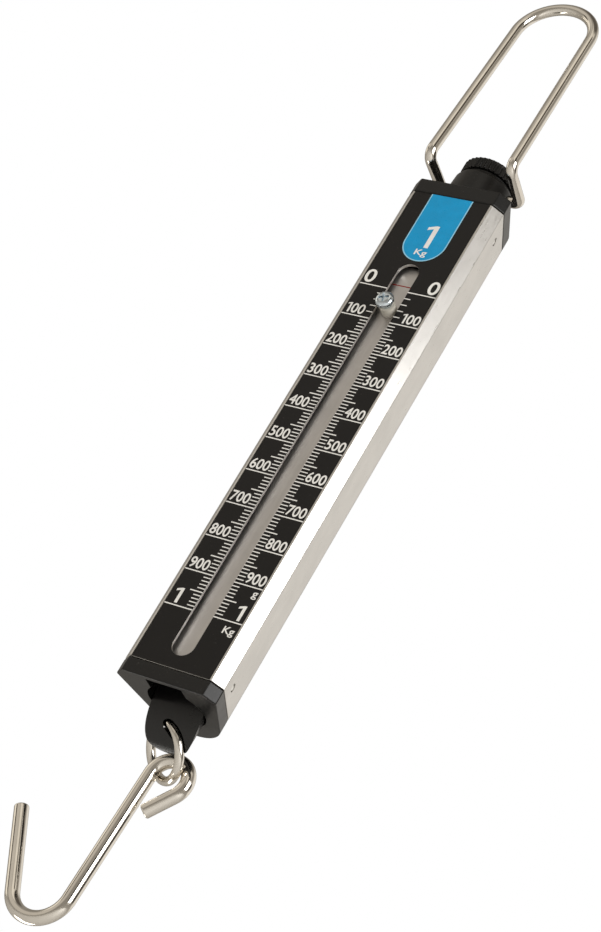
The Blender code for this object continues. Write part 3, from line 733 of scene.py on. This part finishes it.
def build_bottom_end_cap():
    cap = place("bottom_end_cap", prism(section(), CAP_BOTTOM, CASE_BOTTOM - GAP), "black")
    soften(cap, LOW_CAP_EDGE, 4)
    join(cap, prism(spigot_outline(), CASE_BOTTOM - SPIGOT_ROOT, SPIGOT_LOW_END))
    low, high = CAP_BOTTOM - OVER, SPIGOT_LOW_END + OVER
    cut(cap, prism(circle(PULLER_R + OPENING_GAP, 96, (0.0, AXIS_Y)), low, high))
    half = PAD_HALF + OPENING_GAP
    cut(cap, prism(rectangle(-half, STRIP_WAY_Y, half, AXIS_Y), low, high))
    cut_pin_pockets(cap, PIN_LOW_Z)
    settle(cap, "case", "black_plastic", "bottom_cap")


# Handle and knob ----------------------------------------------------------------------------------


def build_handle():
    corners = [
        Vector((PIVOT_IN_X, AXIS_Y, PIVOT_Z)),
        Vector((CORNER_X, AXIS_Y, PIVOT_Z)),
        KNEE,
        Vector((LOOP_R, LOOP_Y, LOOP_Z)),
    ]
    right = filleted(corners, HANDLE_BENDS)
    up = Vector((0.0, LOOP_LEAN, 1.0)).normalized()
    centre = Vector((0.0, LOOP_Y, LOOP_Z))
    angles = [pi * i / 60 for i in range(1, 60)]
    top = [centre + LOOP_R * (cos(a) * Vector((1.0, 0.0, 0.0)) + sin(a) * up) for a in angles]
    left = [Vector((-p.x, p.y, p.z)) for p in reversed(right)]
    path = drawn_in(right + top + left, HANDLE_DOME)
    handle = place("handle_loop", wire(path, HANDLE_R, dome=HANDLE_DOME), "nickel")
    settle(handle, "handle", "nickel_wire", "handle_wire")


def fluted(radius, depth, z, steps=KNOB_FLUTES * 12):
    """A row round the knob whose radius waves in by the flutes' depth."""
    row = []
    for step in range(steps):
        angle = tau * step / steps
        wave = (0.5 - 0.5 * cos(KNOB_FLUTES * angle)) ** FLUTE_POWER
        reach = radius - depth * wave
        row.append((reach * cos(angle), AXIS_Y + reach * sin(angle), z))
    return row


def build_knob():
    places = [(out, share, KNOB_BOTTOM + rise) for out, share, rise in KNOB_FOOT]
    places += [(out, share, KNOB_TOP - drop) for out, share, drop in KNOB_CROWN]
    rows = [fluted(KNOB_R + out, FLUTE_DEEP * share, z) for out, share, z in places]
    knob = place("fluted_knob", lofted(rows), "black")
    cut(knob, prism(circle(NUT_HEX_R, 6), NUT_SEAT, KNOB_TOP + OVER, axis_at(0.0)))
    cut(knob, cylinder(KNOB_BORE_R, KNOB_BOTTOM - OVER, KNOB_TOP, axis_at(0.0)))
    settle(knob, "knob", "black_plastic", "zero_knob")


# Spring and carriage ------------------------------------------------------------------------------


def spring_end(before, end, eye_z, up, steps=32):
    """From the coil's end in to a loop whose far side passes through the eye."""
    centre = Vector((0.0, AXIS_Y, eye_z - up * SPRING_LOOP_R))
    side = 1.0 if end.x > 0 else -1.0
    start = centre + Vector((side * SPRING_LOOP_R, 0.0, 0.0))
    tangent = (end - before).normalized()
    below = start - Vector((0.0, 0.0, up * SPRING_ARRIVES))
    lead = bezier(end, end + tangent * SPRING_LEAVES, below, start, steps // 2)
    loop = []
    for i in range(steps + 1):
        angle = SPRING_LOOP_TURN * i / steps
        reach = Vector((side * cos(angle), 0.0, up * sin(angle))) * SPRING_LOOP_R
        loop.append(centre + reach + Vector((0.0, SPRING_LOOP_SHIFT * i / steps * side, 0.0)))
    return lead + loop


def build_spring():
    """The spring stretches between the adjuster and the carriage."""
    along = SPRING_TURNS * SPRING_PITCH
    bottom, top = measured("tension_spring")
    low = (bottom.z + top.z) / 2 - along / 2
    steps = int(SPRING_TURNS * 36)
    helix = []
    for step in range(steps + 1):
        angle = tau * SPRING_TURNS * step / steps
        z = low + along * step / steps
        helix.append(Vector((SPRING_R * cos(angle), AXIS_Y + SPRING_R * sin(angle), z)))
    upper = spring_end(helix[-4], helix[-1], ROD_EYE_Z, 1)
    lower = spring_end(helix[3], helix[0], BLOCK_EYE_Z, -1)
    path = list(reversed(lower)) + helix + upper
    spring = place("spring_coil", wire(path, SPRING_WIRE_R, 10), "steel")
    smooth(spring, radians(60))
    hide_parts("tension_spring")
    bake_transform(spring)


def build_screw():
    """The pointer screw: a domed head with a cross recess."""
    to_screw = Matrix.Translation((0.0, 0.0, POINTER_Z)) @ TO_FRONT
    under, top = -HEAD_UNDER_Y, -HEAD_TOP_Y
    rim = under + HEAD_RIM
    taper, tip = SCREW_END
    profile = [(SCREW_R - taper, -SCREW_BACK_Y), (SCREW_R, -SCREW_BACK_Y + tip), (SCREW_R, under)]
    profile += [(HEAD_R - HEAD_EDGE, under), (HEAD_R, under + HEAD_EDGE), (HEAD_R, rim)]
    for x, z in arc(1.0, (0.0, 0.0), 0.0, pi / 2, 10)[1:]:
        profile.append((HEAD_R * (HEAD_FLAT + (1.0 - HEAD_FLAT) * x), rim + (top - rim) * z))
    screw = place("cross_screw", turned(profile, 72, to_screw), "zinc")
    for turn in (0.0, pi / 2):
        spin = to_screw @ Matrix.Rotation(turn + CROSS_TURN, 4, "Z")
        rows = []
        for (long, wide), z in ((CROSS_FLOOR, top - CROSS_DEEP), (CROSS_MOUTH, top + CROSS_PAST)):
            rows.append([(x, y, z) for x, y in rectangle(-long, -wide, long, wide)])
        cut(screw, moved(lofted(rows), spin))
    settle(screw, "carriage", "zinc_plate", "pointer_screw")


def build_index_line():
    """The red line across the strip that is read against the zero line."""
    outline = rectangle(
        -INDEX_HALF, INDEX_Z - INDEX_THICK / 2, INDEX_HALF, INDEX_Z + INDEX_THICK / 2
    )
    line = place("index_line", front_prism(outline, STRIP_FRONT - INK, STRIP_FRONT - INK_CLEAR), "red")
    settle(line, "carriage", "plain_steel")


# Puller, ring and hook ----------------------------------------------------------------------------


def nose_cutter():
    """All that lies in front of the nose's curve, below the pad, on a (y, z) outline."""
    quarter = arc(1.0, (0.0, 0.0), 0.0, pi / 2, 48)
    curve = [(NOSE_CENTRE_Y - NOSE_REACH * y, NOSE_CENTRE_Z - NOSE_DROP * z) for y, z in quarter]
    curve = [(y, z) for y, z in curve if z < PAD_BOTTOM - OVER / 2]
    front, floor = -2 * OVER, PULLER_BOTTOM - 3 * OVER
    outline = [(front, PAD_BOTTOM), (front, floor), (curve[-1][0], floor)]
    outline += list(reversed(curve)) + [(curve[0][0] - NOSE_TOP_STEP, PAD_BOTTOM)]
    to_side = Matrix(((0, 0, 1, 0), (1, 0, 0, 0), (0, 1, 0, 0), (0, 0, 0, 1)))
    return prism(outline, -PULLER_R - OVER, PULLER_R + OVER, to_side)


def ring_point(angle):
    side = Vector((RING_NORMAL.y, -RING_NORMAL.x, 0.0)).normalized()
    up = RING_NORMAL.cross(side) * -1.0
    return RING_CENTRE + RING_R * (cos(angle) * side + sin(angle) * up)


def ring_path(swing, steps):
    """The ring's centre line, swung about its own tangent at the middle of the hole."""
    pivot = ring_point(RING_PIVOT_ANGLE)
    tangent = ring_point(RING_PIVOT_ANGLE - 0.01) - ring_point(RING_PIVOT_ANGLE + 0.01)
    turn = Matrix.Rotation(swing, 3, tangent.normalized())
    points = [ring_point(tau * i / steps) for i in range(steps)]
    return [pivot + turn @ (point - pivot) for point in points]


def build_puller():
    body = prism(circle(PULLER_R, 96, (0.0, AXIS_Y)), PULLER_BOTTOM, PULLER_TOP)
    puller = place("nose_puller", body, "puller")
    soften(puller, PULLER_EDGE, 6, radians(40))
    pad = rectangle(-PAD_HALF, PAD_FRONT, PAD_HALF, AXIS_Y)
    join(puller, prism(pad, PAD_BOTTOM, PULLER_TOP - PAD_TOP_DROP))
    cut(puller, nose_cutter())
    for i in range(3):
        cut(puller, wire(ring_path(RING_SWING * i / 2, 72), TUNNEL_R, 20, closed=True))
    for side in (-1, 1):
        matrix = Matrix.Translation((side * RIVET_X, 0.0, RIVET_Z)) @ TO_FRONT
        cut(puller, cylinder(RIVET_R + RIVET_GAP, *RIVET_HOLE, matrix, 32))
    settle(puller, "carriage", "black_plastic", "hook_puller")


def build_ring():
    ring = place("split_ring", wire(ring_path(0.0, 120), RING_WIRE_R, closed=True), "nickel")
    settle(ring, "ring", "nickel_wire", "ring")


def build_hook():
    """One wire: a tip, a bend, a straight shank, an eye round the ring and a short tail."""
    tip_start = BEND_CENTRE - BEND_R * Vector((cos(TIP_LEAN), sin(TIP_LEAN)))
    points = [tip_start + TIP_LONG * Vector((-sin(TIP_LEAN), cos(TIP_LEAN)))]
    points += [Vector(p) for p in arc(BEND_R, BEND_CENTRE, pi + TIP_LEAN, tau, 48)]
    points += [Vector(p) for p in arc(EYE_R, (EYE_X, EYE_Z), pi, TAIL_ANGLE, 72)]
    tail = Vector((sin(TAIL_ANGLE), -cos(TAIL_ANGLE)))
    points.append(points[-1] + TAIL_LONG * tail)
    path = drawn_in([Vector((p.x, HOOK_Y, p.y)) for p in points], HOOK_DOME)
    hook = place("wire_hook", wire(path, HOOK_WIRE_R, 36, dome=HOOK_DOME), "nickel")
    settle(hook, "hook", "nickel_wire", "hook")


# Print --------------------------------------------------------------------------------------------


def lettering(bm, text, x0, x1, z0, z1, bold=0.0, height=INK):
    """Adds upright lettering that fills a box on the plate's front."""
    curve = bpy.data.curves.new("lettering", "FONT")
    curve.body = text
    curve.extrude = 0.05
    curve.offset = bold
    curve.resolution_u = 6
    helper = bpy.data.objects.new("lettering", curve)
    bpy.context.scene.collection.objects.link(helper)
    bpy.context.view_layer.update()
    graph = bpy.context.evaluated_depsgraph_get()
    mesh = bpy.data.meshes.new_from_object(helper.evaluated_get(graph))
    bpy.data.objects.remove(helper)
    xs = [v.co.x for v in mesh.vertices]
    ys = [v.co.y for v in mesh.vertices]
    wide = (x1 - x0) / (max(xs) - min(xs))
    high = (z1 - z0) / (max(ys) - min(ys))
    for v in mesh.vertices:
        across = x0 + (v.co.x - min(xs)) * wide
        up = z0 + (v.co.y - min(ys)) * high
        v.co = (across, PLATE_FRONT - (height if v.co.z > 0 else INK_CLEAR), up)
    bm.from_mesh(mesh)
    bpy.data.meshes.remove(mesh)


def add_shape(bm, outline, height=INK):
    """Prints an (x, z) outline on the plate's front."""
    shape = front_prism(outline, PLATE_FRONT - height, PLATE_FRONT - INK_CLEAR)
    mesh = bpy.data.meshes.new("shape")
    shape.to_mesh(mesh)
    shape.free()
    bm.from_mesh(mesh)
    bpy.data.meshes.remove(mesh)


def add_bar(bm, x0, x1, z, thick):
    """One printed line."""
    add_shape(bm, rectangle(min(x0, x1), z - thick / 2, max(x0, x1), z + thick / 2))


def add_one(bm, x0, x1, z0, z1, stem, height=INK):
    """A numeral one: a stem with a flag slanting down to its left."""
    left = x1 - stem
    fall = 0.45 * (left - x0)
    outline = [(left, z0), (x1, z0), (x1, z1), (left + 0.3 * stem, z1)]
    outline += [(x0, z1 - fall), (x0, z1 - fall - 0.75 * stem), (left, z1 - 0.85 * stem)]
    add_shape(bm, outline, height)


def add_number(bm, text, x0, z):
    """A number above its line, its left edge at x0."""
    if text == "1":
        add_one(bm, x0, x0 + ONE_WIDE, z, z + BIG_HIGH, BIG_STEM)
    elif text == "0":
        lettering(bm, text, x0, x0 + ZERO_WIDE, z, z + BIG_HIGH, BOLD)
    elif text[0] == "1":
        left, right = SMALL_ONE
        add_one(bm, x0 + left, x0 + right, z, z + NUMBER_HIGH, SMALL_STEM)
        lettering(bm, text[1:], x0 + AFTER_SMALL_ONE, x0 + NUMBER_WIDE, z, z + NUMBER_HIGH, BOLD)
    else:
        lettering(bm, text, x0, x0 + NUMBER_WIDE, z, z + NUMBER_HIGH, BOLD)


def tick_length(grams):
    """Full width at every 100 g, and shorter steps below 100 g than above."""
    if grams % 100 == 0:
        return PLATE_HALF - SLOT_R
    if grams < 100:
        return FIRST_TICK
    return MIDDLE_TICK if grams % 50 == 0 else SHORT_TICK


def build_scale_lines():
    """Every 20 g up to 100 g, then every 10 g up to 1 kg, on both sides of the slot."""
    bm = bmesh.new()
    marks = list(range(0, 100, 20)) + list(range(100, 1001, 10))
    for grams in marks:
        z = -KILOGRAM * grams / 1000
        thick = LINE_THICK if grams % 50 == 0 else TICK_THICK
        for side in (-1, 1):
            start = side * (SLOT_R + 0.02)
            add_bar(bm, start, start + side * tick_length(grams), z, thick)
    lines = place("scale_lines", bm, "white")
    settle(lines, "case", "label_black")


def build_scale_numbers():
    bm = bmesh.new()
    outer = PLATE_HALF - EDGE_GAP
    for hundreds in range(0, 11):
        z = -KILOGRAM * hundreds / 10 + NUMBER_LIFT
        text = {0: "0", 10: "1"}.get(hundreds, str(hundreds * 100))
        wide = {"0": ZERO_WIDE, "1": ONE_WIDE + ONE_INSET}.get(text, NUMBER_WIDE)
        add_number(bm, text, outer - wide, z)
        add_number(bm, text, -outer + (ONE_INSET if text == "1" else 0.0), z)
    for text, (x0, x1, z0, z1) in (("g", GRAM_BOX), ("Kg", KILOGRAM_BOX)):
        lettering(bm, text, outer + x0, outer + x1, z0, z1, BOLD)
    numbers = place("scale_numbers", bm, "white")
    settle(numbers, "case", "label_black")


def badge_outline(half):
    low = arc(half, (0.0, BADGE_CENTRE_Z), pi, tau, 48)
    return low + [(half, CASE_TOP), (-half, CASE_TOP)]


def build_badge():
    """A plain blue badge with the capacity."""
    edge = ("badge_edge", 0.0, BADGE_INK / 3, "pale_blue")
    field = ("badge_field", BADGE_BORDER, BADGE_INK * 2 / 3, "blue")
    for name, border, height, material in (edge, field):
        bm = bmesh.new()
        add_shape(bm, badge_outline(BADGE_HALF - border), height)
        settle(place(name, bm, material), "case", "label_black")
    bm = bmesh.new()
    add_one(bm, *BADGE_ONE_BOX, BADGE_ONE_STEM, BADGE_INK)
    lettering(bm, "Kg", *BADGE_UNIT_BOX, BOLD, BADGE_INK)
    number = place("badge_number", bm, "white")
    settle(number, "case", "label_black")


def finish_cad_nodes():
    """The CAD nodes whose shape is already fine get their materials."""
    corners = [f"{level}_{side}" for level in ("top", "bottom") for side in ("left", "right")]
    by_material = {
        "steel": ["adjuster_guide", "adjuster_rod", "puller_rivet_left", "puller_rivet_right"],
        "bare_edge": [f"cap_pin_{corner}" for corner in corners],
        "strip": ["carriage_strip"],
        "brass": ["knob_nut"],
        "black": ["knob_washer"],
        "nylon": ["guide_block", "pointer_collar"],
        "zinc": ["pointer_nut"],
        "rubber": ["stop_bumper"],
    }
    for key, names in by_material.items():
        for name in names:
            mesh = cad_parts[name].data
            mesh.materials.clear()
            mesh.materials.append(MATERIALS[key])


# Studio -------------------------------------------------------------------------------------------


def softbox(name, direction, distance, wide, high, power, colour=(1.0, 1.0, 1.0), seen=True):
    """A rectangular lamp; one that is not seen stays out of reflections."""
    light = bpy.data.lights.new(name, "AREA")
    light.shape = "RECTANGLE"
    light.size = wide
    light.size_y = high
    light.energy = power
    light.color = colour
    box = bpy.data.objects.new(name, light)
    box.location = MIDDLE + direction.normalized() * distance
    box.rotation_euler = direction.to_track_quat("Z", "Y").to_euler()
    box.visible_glossy = seen
    bpy.context.scene.collection.objects.link(box)


def build_world():
    """A pale studio: white to the eye, and the room's grey and its cards in reflections."""
    world = bpy.data.worlds.new("studio")
    bpy.context.scene.world = world
    world.use_nodes = True
    nodes, links = world.node_tree.nodes, world.node_tree.links
    nodes.clear()
    direction = nodes.new("ShaderNodeTexCoord").outputs["Generated"]
    colour = None
    for towards, outer, inner, tint in ROOM:
        dot = nodes.new("ShaderNodeVectorMath")
        dot.operation = "DOT_PRODUCT"
        dot.inputs[1].default_value = towards.normalized()
        links.new(direction, dot.inputs[0])
        reach = nodes.new("ShaderNodeMapRange")
        reach.interpolation_type = "SMOOTHSTEP"
        reach.inputs["From Min"].default_value = outer
        reach.inputs["From Max"].default_value = inner
        links.new(dot.outputs["Value"], reach.inputs["Value"])
        mix = nodes.new("ShaderNodeMix")
        mix.data_type = "RGBA"
        mix.inputs["A"].default_value = (*ROOM_GREY, 1.0)
        mix.inputs["B"].default_value = (*tint, 1.0)
        if colour:
            links.new(colour, mix.inputs["A"])
        links.new(reach.outputs["Result"], mix.inputs["Factor"])
        colour = mix.outputs["Result"]
    lit = nodes.new("ShaderNodeBackground")
    links.new(colour, lit.inputs["Color"])
    white = nodes.new("ShaderNodeBackground")
    white.inputs["Color"].default_value = (1.0, 1.0, 1.0, 1.0)
    eye = nodes.new("ShaderNodeLightPath").outputs["Is Camera Ray"]
    choice = nodes.new("ShaderNodeMixShader")
    links.new(eye, choice.inputs["Fac"])
    links.new(lit.outputs["Background"], choice.inputs[1])
    links.new(white.outputs["Background"], choice.inputs[2])
    output = nodes.new("ShaderNodeOutputWorld")
    links.new(choice.outputs["Shader"], output.inputs["Surface"])


def build_floor():
    bm = bmesh.new()
    bmesh.ops.create_grid(bm, x_segments=8, y_segments=8, size=3.0)
    mesh = bpy.data.meshes.new("floor")
    bm.to_mesh(mesh)
    bm.free()
    shader = Shader("floor_pale", (0.85, 0.85, 0.84), 0.6)
    patches = shader.noise((3.0,) * 3)
    patches = shader.ranged(patches, 0.0, 1.0)
    shader.set("Base Color", shader.mixed(patches, (0.84, 0.84, 0.83), (0.88, 0.88, 0.87)))
    mesh.materials.append(shader.material)
    floor = bpy.data.objects.new("floor", mesh)
    floor.location.z = FLOOR_Z
    bpy.context.scene.collection.objects.link(floor)


def build_camera():
    data = bpy.data.cameras.new("camera")
    data.lens = CAMERA_LENS
    data.shift_x, data.shift_y = CAMERA_SHIFT
    camera = bpy.data.objects.new("camera", data)
    up = CAMERA_BACK.cross(CAMERA_RIGHT)
    turn = Matrix((CAMERA_RIGHT, up, CAMERA_BACK)).transposed()
    camera.matrix_world = Matrix.Translation(CAMERA_AT) @ turn.to_4x4()
    bpy.context.scene.collection.objects.link(camera)
    bpy.context.scene.camera = camera


build_camera()
build_case_shell()
build_label_plate()
build_top_end_cap()
build_bottom_end_cap()
build_handle()
build_knob()
build_spring()
build_screw()
build_index_line()
build_puller()
build_ring()
build_hook()
build_scale_lines()
build_scale_numbers()
build_badge()
finish_cad_nodes()
build_world()
build_floor()
softbox("key", KEY_DIRECTION, distance=0.9, wide=0.55, high=0.5, power=5.0)
softbox("low", LOW_DIRECTION, distance=0.35, wide=0.2, high=0.08, power=0.25, colour=(1.0, 0.98, 0.94))
softbox(
    "fill", FILL_DIRECTION, distance=1.1, wide=0.5, high=0.5, power=3.0, colour=(1.0, 0.97, 0.93), seen=False
)
bpy.context.scene.view_settings.view_transform = "Standard"
